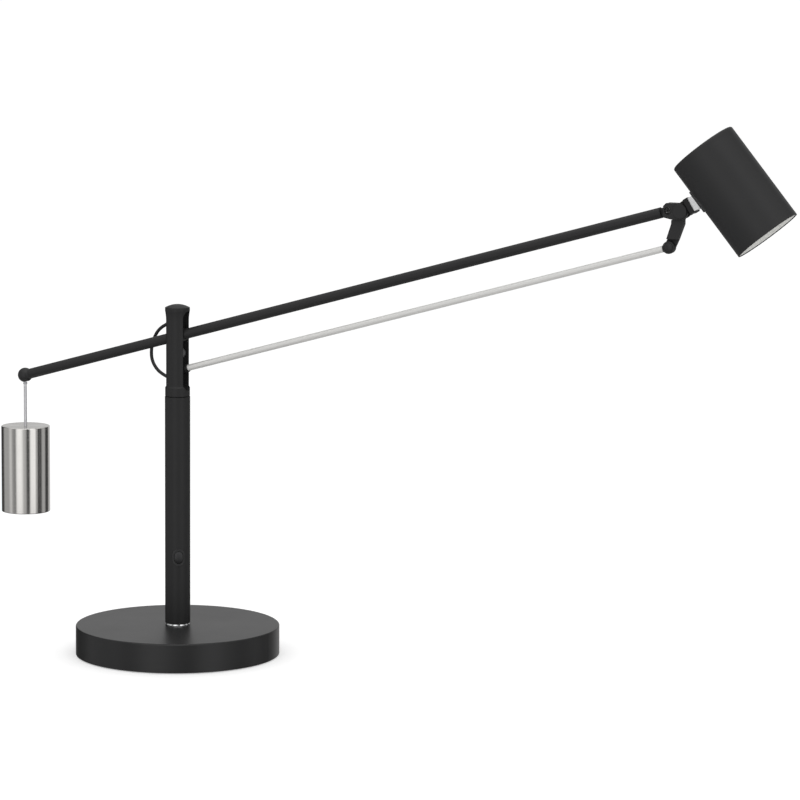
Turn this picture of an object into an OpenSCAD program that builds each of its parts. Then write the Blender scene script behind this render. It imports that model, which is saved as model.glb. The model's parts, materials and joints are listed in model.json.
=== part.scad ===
// Desk lamp with a balanced arm. A weighted round foot carries a column and a slotted head.
// A long arm tube and a thin rod below it turn on two pins in the head, and with the
// shade's bracket they make a parallelogram that keeps the shade's angle. A steel weight
// hangs from the arm's other end.
// Lengths are millimetres. The origin is the centre of the foot's underside and +Z is up.
// The shade is on the +X side, the weight on the -X side, and the arm swings in the XZ plane.

/* [Foot] */
// Diameter of the round foot
base_d = 200; // [170:5:240]
// Height of the foot above the table
base_h = 29; // [27:0.5:40]
// Wall of the spun steel cover
cover_wall = 1.6; // [1:0.1:2.4]
// Radius of the cover's top edge
cover_edge = 1.2; // [1:0.1:3]
// Thickness of the bottom plate
plate_t = 2; // [1.8:0.1:3]
// Thickness of the foam pad under the plate
pad_t = 1.5; // [1:0.1:3]
// Distance of the three plate screws from the foot's edge
plate_screw_inset = 35; // [28:1:60]
// Bore of the gland for the mains cord
inlet_bore_d = 6.4; // [4:0.1:7.4]

/* [Column] */
// Outer diameter of the column tube
column_d = 24.7; // [24:0.1:26]
// Wall of the column tube
column_wall = 1.5; // [1:0.1:1.8]
// Height of the column's top above the table
column_top = 255; // [200:1:400]
// Diameter of the bright ring between foot and column
ring_d = 23.6; // [16:0.1:24]
// Height of the bright ring
ring_h = 1.7; // [1.4:0.1:12]
// Diameter of the hollow threaded tie that pulls the column down on the foot
tie_d = 10; // [8:0.1:12]

/* [Switch] */
// Height of the switch's centre above the table
switch_z = 97.5; // [70:1:180]
// Turn of the switch from the lamp's -Y side toward the shade
switch_turn = 32; // [-90:1:90]
// Width of the oval bezel
bezel_w = 11.8; // [11.4:0.1:12.2]
// Height of the oval bezel
bezel_h = 16.6; // [15:0.1:20]
// Width of the oval button
button_w = 8.2; // [6:0.1:8.4]
// Height of the oval button
button_h = 11.8; // [9:0.1:12]
// Travel of the button when it is pressed
button_travel = 1.2; // [0.6:0.1:1.4]

/* [Head] */
// Height of the head's body above its washer
head_h = 86.5; // [85.5:0.1:91]
// Diameter at the head's rims
rim_d = 24.2; // [23:0.1:24.6]
// Diameter at the head's waist
waist_d = 22.3; // [21:0.1:22.8]
// Width of the slot that the arm swings in
slot_w = 12.2; // [10.8:0.1:12.4]
// Height of the arm's pivot above the head's underside
arm_pivot_up = 58.35; // [57:0.05:60]
// Height of the arm's pivot above the rod's pivot
link_h = 33.8; // [32:0.1:35]
// Diameter of the steel spacer between the slot's cheeks
spacer_d = 11.4; // [8:0.1:11.5]
// Rise of the cap's dome
cap_rise = 3.2; // [1:0.1:6]

/* [Arm] */
// Rise of the arm above level as the lamp stands
arm_rise = 15.8; // [0:0.1:30]
// Diameter of the arm tubes
arm_d = 10; // [9:0.1:10.2]
// Wall of the arm tubes
arm_wall = 1; // [0.8:0.1:1.4]
// Length from the arm's pivot to the bracket's pivot
arm_reach = 526.5; // [400:1:600]
// Length from the arm's pivot to the centre of the ball end
arm_back = 178; // [160:0.5:200]
// Diameter of the ball end
ball_d = 14.5; // [13:0.1:15]
// Diameter of the thin rod below the arm
rod_d = 6.2; // [5:0.1:6.6]

/* [Weight] */
// Diameter of the counterweight
weight_d = 48.2; // [36:0.1:56]
// Height of the counterweight
weight_h = 86; // [60:0.5:95]
// Length from the ball's centre down to the weight's top
wire_drop = 50.8; // [30:0.1:60]
// Diameter of the wire
wire_d = 3; // [2:0.1:3.2]

/* [Shade] */
// Dip of the shade's axis below level as the lamp stands
shade_dip = 51.4; // [30:0.1:60]
// Turn of the shade about its stem as the lamp stands
shade_turn = 3.5; // [-90:0.5:90]
// Outer diameter of the shade
shade_d = 65; // [60:0.5:80]
// Length of the shade
shade_len = 99.5; // [92:0.5:120]
// Wall of the shade
shade_wall = 1; // [0.8:0.1:2]
// Thickness of the shade's closed end
shade_end_t = 1.5; // [1:0.1:2]
// Radius of the edge round the closed end
shade_edge = 1.8; // [1:0.1:3]
// Distance from the closed end to the stem's axis
stem_from_end = 36.4; // [30:0.1:42]
// Width of the square knuckle
knuckle_w = 15; // [14:0.1:15.4]
// Width of the square bright stem
stem_w = 13.2; // [11:0.1:13.8]
// Bright length of the stem
stem_len = 5.3; // [4:0.1:12]
// Length of the saddle plate between stem and shade
saddle_len = 22.5; // [16:0.5:26]
// Thickness of the saddle plate at its thinnest
saddle_min = 0.95; // [0.8:0.05:3]
// Depth of the bulb's face inside the shade's mouth
bulb_recess = 26; // [22:0.5:32]

/* [Hidden] */
$fn = 72;

// Overrun of every cut, fit between fixed pieces, and running gap of turning pieces
cut = 1;
fit = 0.05;
run_gap = 0.05;

// Foot
base_r = base_d / 2;
plate_screws = 3;
pad_inset = 6;
cover_lift = 0.7;
plate_side_gap = 0.3;
weight_side_gap = 1;
plate_z = pad_t;
ballast_z = plate_z + plate_t;
ballast_top = base_h - cover_wall;
inlet_z = 13;
inlet_channel_w = 12;
gland_flange_d = 15;
gland_neck_d = 11;
gland_proud = 2;
gland_inside = 1;
screw_d = 4;
screw_head_d = 8;
screw_head_t = 1.8;
screw_bite = 8;
nut_pocket_d = 24;
nut_pocket_h = 9.5;
nut_h = 6;
nut_flats = 14;
tie_below_nut = 1;
tie_bore_d = 6;

// Column
column_r = column_d / 2;
column_ri = column_r - column_wall;
column_z = base_h + ring_h;
column_edge = 0.5;
ring_edge = 0.4;
plug_h = 20;
bushing_h = 24;
tie_short = 2;
tie_z = ballast_z + nut_pocket_h - nut_h - tie_below_nut;
tie_top = column_z + plug_h - tie_short;

// Switch
bezel_proud = 0.7;
bezel_lip = 0.8;
button_gap = 0.4;
button_proud = 1.5;
button_crown_r = 13;
switch_w = 10;
switch_h = 15.4;
switch_inset = 0.25;
switch_back = 1.5;
switch_seat = sqrt(pow(column_ri - switch_inset, 2) - pow(switch_w / 2, 2));
button_root = 1;
button_floor = 0.3;

// Head
washer_d = 22.2;
washer_t = 0.8;
spindle_d = 12;
spindle_bore_d = 5.2;
spindle_tail = 4;
clip_d = 17;
clip_t = 1.2;
clip_neck_d = 10;
clip_gap = 0.1;
head_z = column_top + washer_t + run_gap;
head_top = head_z + head_h;
rim_r = rim_d / 2;
waist_r = waist_d / 2;
low_rim_h = 8.3;
low_flare_h = 2;
high_rim_h = 3.2;
high_flare_h = 9.5;
slot_floor = 5;
slot_roof = 3.2;
cap_inset = 0.25;
cap_pin_d = 8;
cap_pin_h = 2;
pin_d = 4;
pin_head_d = 6.8;
pin_head_t = 1.6;
pin_sunk = 0.6;
pin_blind = 1.8;
pin_slot_w = 1;
pin_slot_t = 0.7;
spacer_screw_d = 3;
head_eye_d = 10;
head_eye_t = 5;
arm_pivot_z = head_z + arm_pivot_up;
rod_pivot_z = arm_pivot_z - link_h;
spacer_z = (arm_pivot_z + rod_pivot_z) / 2;

// Arm
arm_r = arm_d / 2;
arm_ri = arm_r - arm_wall;
hub_len = 16;
hub_h = 12;
hub_side_gap = 0.2;
hub_edge = 1.5;
hub_w = slot_w - 2 * hub_side_gap;
spigot_len = 12;
pocket_w = 4.2;
pocket_front = 7;
pocket_back = 6.6;
pocket_low = 0.6;
pocket_ring_d = 7.2;
feed_bore_d = 3;
feed_up = 1.3;
feed_start = 3.4;
ball_r = ball_d / 2;
ball_neck = 6.2;
wire_ball_d = 6;
cup_wall = 0.6;
cup_d = wire_ball_d + 2 * (run_gap + cup_wall);
wire_slot_w = 5.6;
wire_slot_play = 0.4;
slot_steep = 67;
slot_shallow = 143;
tongue_t = 4;
tongue_h = 8;
tongue_eye_d = 10.4;
tongue_shoulder = 7.8;
shoulder_t = 0.8;
tongue_plug = 14;

// Weight
weight_edge = 0.8;
wire_collar_d = 4.2;
wire_collar_h = 1.5;
wire_collar_gap = 0.3;
wire_nut_d = 9;
wire_nut_h = 6;
wire_tail = 2;
weight_lid_t = 12;
weight_chamber_d = 12;
weight_plug_t = 3;

// Rod
eye_end_d = 11.6;
eye_end_t = 3.2;
eye_socket_d = 8;
eye_socket_end = 12.6;
rod_start = 6;
rod_end_gap = 5.8;
rod_spigot_d = 3;
rod_spigot_len = 10;
open_pivot_gap = 0.3;

// Bracket, with its origin on the arm's end pivot
tilt_x = 12.4;
tilt_z = 0.2;
cheek_w = 11;
fork_gap = 0.2;
fork_w = tongue_t + 2 * fork_gap;
block_left = 4.3;
block_low = 6;
block_top = 7.1;
block_chamfer = 2.7;
block_right = 9.6;
web_left = 3.2;
web_right = 14.2;
web_top = 6.1;
web_bottom = 7.6;
tilt_cheek_d = 14.6;
lever_front = 1.6;
lever_back = 4.4;
lever_left = 2.3;
lever_knee = 12;
lever_toe_left = 2.2;
lever_toe_right = 9.1;
lever_toe_z = 26;
lap_gap = 0.3;
lap_end_d = 11.2;
screw_recess_d = 6.6;
screw_recess_t = 1.8;
socket_head_d = 5.8;
socket_head_t = 1.7;
socket_flats = 2.5;
socket_t = 1;
small_nut_flats = 7;
small_nut_t = 2.6;
tilt_cap_d = 13.4;
tilt_cap_t = 1.6;
tilt_cap_edge = 0.4;
tilt_cap_neck_d = 10;
tilt_cap_lift = 0.5;
link_head_d = 8.8;
link_head_t = 1.1;
link_rear_d = 6.8;
link_rear_t = 1.4;

// Knuckle and stem, with their origin on the tilt pin and +X square to the shade's side
knuckle_turn = 6.5;
stem_drop = 2.6;
knuckle_eye_d = 12;
knuckle_top_x = 3.2;
knuckle_low_x = 4.8;
knuckle_face = 7.7;
knuckle_end = 12.3;
stem_root_d = 6;
stem_root_len = 3.6;
stem_shank_d = 8;
stem_bore_d = 4;
stem_end = knuckle_end + stem_len;
inner_saddle_d = 17;
inner_saddle_t = 1;
stem_nut_flats = 13;
stem_nut_t = 4;
stem_tail = 0.6;
stem_rise = 90 - shade_dip;

// Shade, with its origin at the centre of the closed end and the mouth toward -Z
shade_r = shade_d / 2;
shade_ri = shade_r - shade_wall;
shade_x = stem_end + run_gap + saddle_min + shade_r;
liner_gap = 0.1;
liner_t = 0.6;
liner_lip = 0.8;
liner_saddle_gap = 2.6;
liner_len = shade_len - stem_from_end - inner_saddle_d / 2 - liner_saddle_gap;
inner_flat_x = shade_x - sqrt(pow(shade_ri, 2) - pow(inner_saddle_d / 2, 2)) + inner_saddle_t;
stand_d = 30;
stand_wall = 1.6;
stand_h = 8;
stand_hole_d = 12;
holder_d = 29;
holder_h = 14;
holder_z = shade_end_t + stand_h;
bulb_pin_gap = 10;
bulb_pin_d = 4.8;
bulb_pin_len = 6;
bulb_seat_gap = 0.1;
bulb_neck_d = 23;
bulb_neck_h = 10;
bulb_d = 50;
bulb_rim_h = 5;
lens_d = 46;
lens_t = 1.6;
bulb_z = holder_z + holder_h + bulb_seat_gap;
bulb_face = shade_len - bulb_recess;

// Cable loop beside the head, measured from the lamp's axis and the head's underside
cable_d = 3.3;
cable_sides = 8;
cable_points = [
    [0, 0, -25], [0, 0, -13], [0, 0, -1], [0, 0, 5.5], [-1.8, 0.2, 10.6], [-6.2, 1, 14.4],
    [-12.2, 2.9, 17], [-19.2, 5.2, 19.4], [-25.6, 6.9, 23], [-30.2, 7.9, 28], [-32.8, 8.4, 33.6],
    [-33.4, 8.5, 39.6], [-32.8, 8.5, 45.6], [-31.3, 8.5, 51.2], [-29, 8.5, 56.4],
    [-26, 8.4, 61], [-21.8, 8, 64.8], [-17, 7, 67.6], [-12.6, 5.2, 69.6],
    [-9, 3.2, 70.6], [-5.8, 1.5, 70.2], [-3.2, 0.5, 68.6], [-1.6, 0.1, 66.2], [-0.7, 0, 62.8]
];

// Frames of the moving groups
module along_arm() translate([0, 0, arm_pivot_z]) rotate([0, -arm_rise, 0]) children();
module along_rod() translate([0, 0, rod_pivot_z]) rotate([0, -arm_rise, 0]) children();
module at_bracket() along_arm() translate([arm_reach, 0, 0]) rotate([0, arm_rise, 0]) children();
module at_ball() along_arm() translate([-arm_back, 0, 0]) rotate([0, arm_rise, 0]) children();
module at_tilt() at_bracket() translate([tilt_x, 0, tilt_z]) rotate([0, -stem_rise, 0]) children();
module at_block() at_tilt() rotate([0, knuckle_turn, 0]) children();
module at_stem() at_tilt() translate([0, 0, -stem_drop]) children();
module at_seat() at_stem() rotate([shade_turn, 0, 0]) children();
module at_shade() at_seat() translate([shade_x, 0, stem_from_end]) children();
module at_switch() translate([0, 0, switch_z]) rotate([0, 0, switch_turn - 90]) children();
module at_inlet() translate([0, 0, inlet_z]) rotate([0, 0, 180]) children();

// Round bars between two places on one axis
module bar_x(d, a, b) translate([a, 0, 0]) rotate([0, 90, 0]) cylinder(d = d, h = b - a);
module bar_y(d, a, b) translate([0, b, 0]) rotate([90, 0, 0]) cylinder(d = d, h = b - a);
module bar_z(d, a, b) translate([0, 0, a]) cylinder(d = d, h = b - a);

// A flat outline in X and Z, made thick from y = a to y = b
module slab_y(a, b) translate([0, b, 0]) rotate([90, 0, 0]) linear_extrude(height = b - a) children();

// A flat outline in Y and Z, made thick from x = a to x = b
module slab_x(a, b) translate([a, 0, 0]) rotate([90, 0, 90]) linear_extrude(height = b - a) children();

// A box between two corners
module box(low, high) translate(low) cube(high - low);

// An upright oval of two half circles
module oval(w, h) {
    translate([0, (h - w) / 2]) circle(d = w);
    translate([0, (w - h) / 2]) circle(d = w);
    translate([-w / 2, (w - h) / 2]) square([w, h - w]);
}

// A hexagon measured across its flats
module hexagon(flats) circle(d = flats / cos(30), $fn = 6);

// Half outline of a plain disc or drum with one rounded top edge
module drum_half(r, h, edge) {
    square([r - edge, h]);
    square([r, h - edge]);
    translate([r - edge, h - edge]) intersection() {
        circle(r = edge);
        square(edge);
    }
}

// Radius of an arc that starts along a line and gains a step over a length
function flare_r(step, len) = (len * len + step * step) / (2 * step);

// FOOT
module foot_pad() color("dimgray") bar_z(base_d - 2 * pad_inset, 0, pad_t);

// Places one thing at each plate screw
module at_screw(i) rotate([0, 0, 60 + i * 360 / plate_screws]) translate([base_r - plate_screw_inset, 0, 0])
    children();

module base_plate() color("silver") difference() {
    bar_z(base_d - 2 * (cover_wall + plate_side_gap), plate_z, ballast_z);
    for (i = [0 : plate_screws - 1]) at_screw(i) {
        bar_z(screw_d + 2 * fit, plate_z - cut, ballast_z + cut);
        screw_cone(fit);
    }
}

// Countersunk head, made wider by a gap for its seat
module screw_cone(gap) translate([0, 0, plate_z])
    cylinder(d1 = screw_head_d + 2 * gap, d2 = screw_d + 2 * gap, h = screw_head_t);

module base_screw(i) color("silver") at_screw(i) difference() {
    union() {
        screw_cone(0);
        bar_z(screw_d, plate_z, ballast_z + screw_bite);
    }
    translate([0, 0, plate_z - cut]) linear_extrude(height = cut + screw_head_t) hexagon(socket_flats);
}

module base_weight() color("dimgray") difference() {
    bar_z(base_d - 2 * (cover_wall + weight_side_gap), ballast_z, ballast_top);
    bar_z(tie_d + 2 * fit, ballast_z - cut, ballast_top + cut);
    bar_z(nut_pocket_d, ballast_z - cut, ballast_z + nut_pocket_h);
    for (i = [0 : plate_screws - 1]) at_screw(i)
        bar_z(screw_d + 2 * fit, ballast_z - cut, ballast_z + screw_bite + fit);
    at_inlet() box([nut_pocket_d / 3, -inlet_channel_w / 2, -inlet_channel_w / 2],
        [base_r, inlet_channel_w / 2, inlet_channel_w / 2]);
}

module base_cover() color("#3a3a3b") difference() {
    translate([0, 0, cover_lift]) rotate_extrude() drum_half(base_r, base_h - cover_lift, cover_edge);
    bar_z(base_d - 2 * cover_wall, cover_lift - cut, ballast_top);
    bar_z(tie_d + 2 * fit, ballast_top - cut, base_h + cut);
    at_inlet() bar_x(gland_neck_d + 2 * fit, base_r - cover_wall - cut, base_r + cut);
}

module cord_gland() color("#222222") at_inlet() difference() {
    union() {
        bar_x(gland_flange_d, base_r, base_r + gland_proud);
        bar_x(gland_neck_d, base_r - cover_wall - gland_inside, base_r);
    }
    bar_x(inlet_bore_d, base_r - cover_wall - gland_inside - cut, base_r + gland_proud + cut);
}

// COLUMN
module column_ring() color("gainsboro") difference() {
    translate([0, 0, base_h]) rotate_extrude() {
        square([ring_d / 2 - ring_edge, ring_h]);
        translate([0, ring_edge]) square([ring_d / 2, ring_h - 2 * ring_edge]);
        for (z = [ring_edge, ring_h - ring_edge])
            translate([ring_d / 2 - ring_edge, z]) circle(r = ring_edge);
    }
    bar_z(tie_d + 2 * fit, base_h - cut, column_z + cut);
}

module column_tie() color("silver") difference() {
    bar_z(tie_d, tie_z, tie_top);
    bar_z(tie_bore_d, tie_z - cut, tie_top + cut);
}

module tie_nut() color("silver") difference() {
    translate([0, 0, ballast_z + nut_pocket_h - nut_h]) linear_extrude(height = nut_h) hexagon(nut_flats);
    bar_z(tie_d + 2 * fit, ballast_z, ballast_z + nut_pocket_h + cut);
}

module column_plug() color("silver") difference() {
    bar_z(2 * (column_ri - fit), column_z, column_z + plug_h);
    bar_z(tie_d + 2 * fit, column_z - cut, column_z + plug_h + cut);
}

module column_tube() color("#303031") difference() {
    translate([0, 0, column_z]) rotate_extrude() difference() {
        square([column_r, column_top - column_z]);
        polygon([[column_r - column_edge, -cut], [column_r - column_edge, 0],
            [column_r, column_edge], [column_r + cut, column_edge], [column_r + cut, -cut]]);
    }
    bar_z(2 * column_ri, column_z - cut, column_top + cut);
    at_switch() slab_x(0, column_r + cut) bezel_neck(fit);
}

// Outline of the bezel's neck, made wider by a gap for the tube's slot
module bezel_neck(gap) oval(bezel_w - 2 * (bezel_lip - gap), bezel_h - 2 * (bezel_lip - gap));

module switch_hole() oval(button_w + 2 * button_gap, button_h + 2 * button_gap);

module switch_bezel() color("#2a2a2b") at_switch() difference() {
    union() {
        intersection() {
            slab_x(switch_seat, column_r + bezel_proud) bezel_neck(0);
            bar_z(2 * column_r, -bezel_h, bezel_h);
        }
        difference() {
            intersection() {
                slab_x(0, column_r + bezel_proud) oval(bezel_w, bezel_h);
                bar_z(2 * (column_r + bezel_proud), -bezel_h, bezel_h);
            }
            bar_z(2 * column_r, -bezel_h, bezel_h);
        }
    }
    slab_x(switch_seat - cut, column_r + bezel_proud + cut) switch_hole();
}

module switch_body() color("#1c1c1c") at_switch() difference() {
    box([switch_back, -switch_w / 2, -switch_h / 2], [switch_seat, switch_w / 2, switch_h / 2]);
    slab_x(switch_seat - button_root - button_travel - button_floor, switch_seat + cut) switch_hole();
}

module switch_button() color("#252526") at_switch() intersection() {
    slab_x(switch_seat - button_root, column_r + button_proud) oval(button_w, button_h);
    translate([column_r + button_proud - button_crown_r, 0, 0]) sphere(r = button_crown_r);
}

module column_bushing() color("#444444") difference() {
    bar_z(2 * (column_ri - fit), column_top - bushing_h, column_top);
    bar_z(spindle_d + 2 * run_gap, column_top - bushing_h - cut, column_top + cut);
}

module swivel_washer() color("#111111") difference() {
    bar_z(washer_d, column_top, column_top + washer_t);
    bar_z(spindle_d + 2 * run_gap, column_top - cut, column_top + washer_t + cut);
}

// HEAD
// Half outline of the head: two rims, a long flare under the upper one and a waist between
module head_half() {
    step = rim_r - waist_r;
    low = low_rim_h + low_flare_h;
    high = head_h - high_rim_h - high_flare_h;
    difference() {
        square([rim_r, head_h]);
        translate([waist_r, low]) square([rim_r, high - low]);
        intersection() {
            translate([waist_r + flare_r(step, low_flare_h), low])
                circle(r = flare_r(step, low_flare_h));
            translate([waist_r, low_rim_h]) square([rim_r, low_flare_h]);
        }
        intersection() {
            translate([waist_r + flare_r(step, high_flare_h), high])
                circle(r = flare_r(step, high_flare_h), $fn = 360);
            translate([waist_r, high]) square([rim_r, high_flare_h]);
        }
    }
}

// Bore and sunk head of a pin that goes in from the head's far side
module pin_seat(d) {
    bar_y(d + 2 * fit, -waist_r + pin_blind - fit, waist_r);
    bar_y(pin_head_d + 2 * fit, waist_r - pin_sunk - pin_head_t, waist_r + cut);
}

module head_pin(d, near) difference() {
    union() {
        bar_y(d, near, waist_r - pin_sunk - pin_head_t);
        bar_y(pin_head_d, waist_r - pin_sunk - pin_head_t, waist_r - pin_sunk);
    }
    box([-pin_head_d, waist_r - pin_sunk - pin_slot_t, -pin_slot_w / 2],
        [pin_head_d, waist_r, pin_slot_w / 2]);
}

module head_housing() color("#303031") difference() {
    union() {
        translate([0, 0, head_z]) rotate_extrude() head_half();
        bar_z(spindle_d, column_top - bushing_h - spindle_tail, head_z + fit);
    }
    bar_z(spindle_bore_d, column_top - bushing_h - spindle_tail - cut, head_z + slot_floor + slot_w / 2);
    difference() {
        bar_z(spindle_d + cut, clip_z() - fit, clip_z() + clip_t + fit);
        bar_z(clip_neck_d, clip_z() - cut, clip_z() + clip_t + cut);
    }
    translate([0, 0, head_z + slot_floor]) slab_x(-rim_d, rim_d)
        translate([0, (head_h - slot_floor - slot_roof) / 2]) oval(slot_w, head_h - slot_floor - slot_roof);
    translate([0, 0, arm_pivot_z]) pin_seat(pin_d);
    translate([0, 0, rod_pivot_z]) pin_seat(pin_d);
    translate([0, 0, spacer_z]) {
        bar_y(spacer_screw_d + 2 * fit, 0, waist_r);
        bar_y(pin_head_d + 2 * fit, waist_r - pin_sunk - pin_head_t, waist_r + cut);
    }
    bar_z(cap_pin_d + 2 * fit, head_top - cap_pin_h - fit, head_top + cut);
}

function clip_z() = column_top - bushing_h - clip_gap - clip_t;

module spindle_clip() color("silver") difference() {
    bar_z(clip_d, clip_z(), clip_z() + clip_t);
    bar_z(clip_neck_d + 2 * fit, clip_z() - cut, clip_z() + clip_t + cut);
}

module head_cap() color("#3a3a3b") {
    cap_r = rim_r - cap_inset;
    dome_r = flare_r(cap_rise, cap_r);
    bar_z(cap_pin_d, head_top - cap_pin_h, head_top + fit);
    intersection() {
        translate([0, 0, head_top + cap_rise - dome_r]) sphere(r = dome_r, $fn = 180);
        bar_z(2 * cap_r, head_top, head_top + cap_rise);
    }
}

module arm_pivot_pin() color("silver") translate([0, 0, arm_pivot_z]) head_pin(pin_d, -waist_r + pin_blind);

module rod_pivot_pin() color("silver") translate([0, 0, rod_pivot_z]) head_pin(pin_d, -waist_r + pin_blind);

module cheek_spacer() color("gainsboro") translate([0, 0, spacer_z]) difference() {
    bar_y(spacer_d, -slot_w / 2, slot_w / 2);
    bar_y(spacer_screw_d + 2 * fit, -fit, slot_w / 2 + cut);
}

module spacer_screw() color("silver") translate([0, 0, spacer_z]) head_pin(spacer_screw_d, 0);

// Unit vector, and the direction of the cable at each of its points
function unit(v) = v / norm(v);
function cable_dir(i) = unit(cable_points[min(i + 1, len(cable_points) - 1)] - cable_points[max(i - 1, 0)]);

// One ring of points round the cable; the ring's first axis stays level across the loop
function cable_ring(i) = let (t = cable_dir(i), u = unit(cross(t, [0.2, 1, 0])), v = cross(t, u))
    [for (k = [0 : cable_sides - 1])
        cable_points[i] + cable_d / 2 * (cos(k * 360 / cable_sides) * u + sin(k * 360 / cable_sides) * v)];

module loop_cable() color("#151515") translate([0, 0, head_z]) {
    n = len(cable_points);
    s = cable_sides;
    points = [for (i = [0 : n - 1]) each cable_ring(i)];
    sides = [for (i = [0 : n - 2]) for (k = [0 : s - 1])
        each [[i * s + k, (i + 1) * s + k, (i + 1) * s + (k + 1) % s],
            [i * s + k, (i + 1) * s + (k + 1) % s, i * s + (k + 1) % s]]];
    start = [[for (k = [0 : s - 1]) k]];
    finish = [[for (k = [s - 1 : -1 : 0]) (n - 1) * s + k]];
    polyhedron(points = points, faces = concat(sides, start, finish));
}

// ARM
module arm_hub() color("#2a2a2b") along_arm() difference() {
    union() {
        slab_y(-hub_w / 2, hub_w / 2) intersection() {
            square([hub_len, hub_h], center = true);
            circle(d = norm([hub_len, hub_h]) - hub_edge);
        }
        bar_x(2 * (arm_ri - fit), -hub_len / 2 - spigot_len, hub_len / 2 + spigot_len);
    }
    bar_y(pin_d + 2 * run_gap, -hub_w, hub_w);
    difference() {
        box([-pocket_back, -pocket_w / 2, pocket_low], [pocket_front, pocket_w / 2, hub_h]);
        bar_y(pocket_ring_d, -hub_w, hub_w);
    }
    translate([0, 0, feed_up]) bar_x(feed_bore_d, feed_start, hub_len / 2 + spigot_len + cut);
}

module arm_tube(a, b) difference() {
    bar_x(arm_d, a, b);
    bar_x(2 * arm_ri, a - cut, b + cut);
}

module arm_tube_long() color("#303031") along_arm()
    arm_tube(hub_len / 2, arm_reach - tongue_shoulder - shoulder_t);

module arm_tube_short() color("#303031") along_arm() arm_tube(-arm_back + ball_neck, -hub_len / 2);

// The fan that the wire sweeps under the ball as the arm tilts
module wire_fan() {
    side = wire_d / 2 + wire_slot_play;
    reach = ball_d;
    first = [cos(slot_steep), -sin(slot_steep)];
    last = [cos(slot_shallow), -sin(slot_shallow)];
    polygon([[0, side], side * [-first[1], first[0]], side * [-first[1], first[0]] + reach * first,
        [0, -2 * reach], side * [last[1], -last[0]] + reach * last, side * [last[1], -last[0]]]);
}

module ball_end() color("#2a2a2b") along_arm() translate([-arm_back, 0, 0]) difference() {
    union() {
        sphere(d = ball_d);
        bar_x(arm_d, 0, ball_neck);
        bar_x(2 * (arm_ri - fit), ball_neck - fit, ball_neck + spigot_len);
    }
    sphere(d = cup_d + 2 * run_gap);
    slab_y(-wire_slot_w / 2, wire_slot_w / 2) wire_fan();
}

module arm_tongue() color("#2a2a2b") along_arm() translate([arm_reach, 0, 0]) difference() {
    union() {
        bar_x(2 * (arm_ri - fit), -tongue_shoulder - shoulder_t - tongue_plug, -tongue_shoulder - fit);
        bar_x(arm_d, -tongue_shoulder - shoulder_t, -tongue_shoulder);
        slab_y(-tongue_t / 2, tongue_t / 2) {
            translate([-tongue_shoulder - fit, -tongue_h / 2]) square([tongue_shoulder + fit, tongue_h]);
            circle(d = tongue_eye_d);
        }
    }
    bar_y(pin_d + 2 * run_gap, -tongue_t, tongue_t);
}

// HANGING WEIGHT
module hanger_cup() color("whitesmoke") at_ball() difference() {
    sphere(d = cup_d);
    sphere(d = wire_ball_d + 2 * run_gap);
    box([-wire_d / 2 - wire_slot_play, -wire_slot_w / 2, -cup_d],
        [wire_d / 2 + wire_slot_play, wire_slot_w / 2, 0]);
}

module wire_ball() color("silver") at_ball() difference() {
    sphere(d = wire_ball_d);
    bar_z(wire_d + 2 * fit, -wire_ball_d, fit);
}

module hanger_wire() color("gainsboro") at_ball()
    bar_z(wire_d, -wire_drop - weight_lid_t - wire_nut_h - wire_tail, 0);

module wire_collar() color("#2a2a2b") at_ball() difference() {
    bar_z(wire_collar_d, -ball_r - wire_collar_gap - wire_collar_h, -ball_r - wire_collar_gap);
    bar_z(wire_d + 2 * fit, -ball_d, 0);
}

module wire_nut() color("silver") at_ball() {
    top = -wire_drop - weight_lid_t - run_gap;
    difference() {
        bar_z(wire_nut_d, top - wire_nut_h, top);
        bar_z(wire_d + 2 * fit, top - wire_nut_h - cut, top + cut);
    }
}

module counterweight() color("silver") at_ball() translate([0, 0, -wire_drop - weight_h]) difference() {
    rotate_extrude() {
        r = weight_d / 2;
        polygon([[0, 0], [r - weight_edge, 0], [r, weight_edge], [r, weight_h - weight_edge],
            [r - weight_edge, weight_h], [0, weight_h]]);
    }
    bar_z(wire_d + 2 * run_gap, -cut, weight_h + cut);
    bar_z(weight_chamber_d, -cut, weight_h - weight_lid_t);
}

module weight_plug() color("#222222") at_ball() translate([0, 0, -wire_drop - weight_h])
    bar_z(weight_chamber_d - 2 * fit, 0, weight_plug_t);

// ROD
module link_rod() color("gainsboro") along_rod() difference() {
    bar_x(rod_d, rod_start, arm_reach - rod_end_gap);
    bar_x(rod_spigot_d + 2 * fit, arm_reach - rod_end_gap - rod_spigot_len - fit, arm_reach);
}

module rod_eye_head() color("#2a2a2b") along_rod() difference() {
    union() {
        bar_y(head_eye_d, -head_eye_t / 2, head_eye_t / 2);
        bar_x(eye_socket_d, pin_d, eye_socket_end);
    }
    bar_y(pin_d + 2 * run_gap, -head_eye_t, head_eye_t);
    bar_x(rod_d + 2 * fit, rod_start - fit, eye_socket_end + cut);
}

module rod_eye_shade() color("#2a2a2b") along_rod() translate([arm_reach, 0, 0]) difference() {
    union() {
        bar_y(eye_end_d, -eye_end_t / 2, eye_end_t / 2);
        bar_x(rod_spigot_d, -rod_end_gap - rod_spigot_len, -pin_d);
    }
    bar_y(pin_d + 2 * open_pivot_gap, -eye_end_t, eye_end_t);
}

// BRACKET
module cheek_outline() {
    polygon([[-block_left, -block_low], [-block_left, block_top - block_chamfer],
        [block_chamfer - block_left, block_top], [block_right, block_top],
        [block_right, -web_bottom], [web_left, -web_bottom]]);
    translate([web_left, -web_bottom]) square([web_right - web_left, web_bottom]);
    translate([tilt_x, tilt_z]) circle(d = tilt_cheek_d);
}

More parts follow.
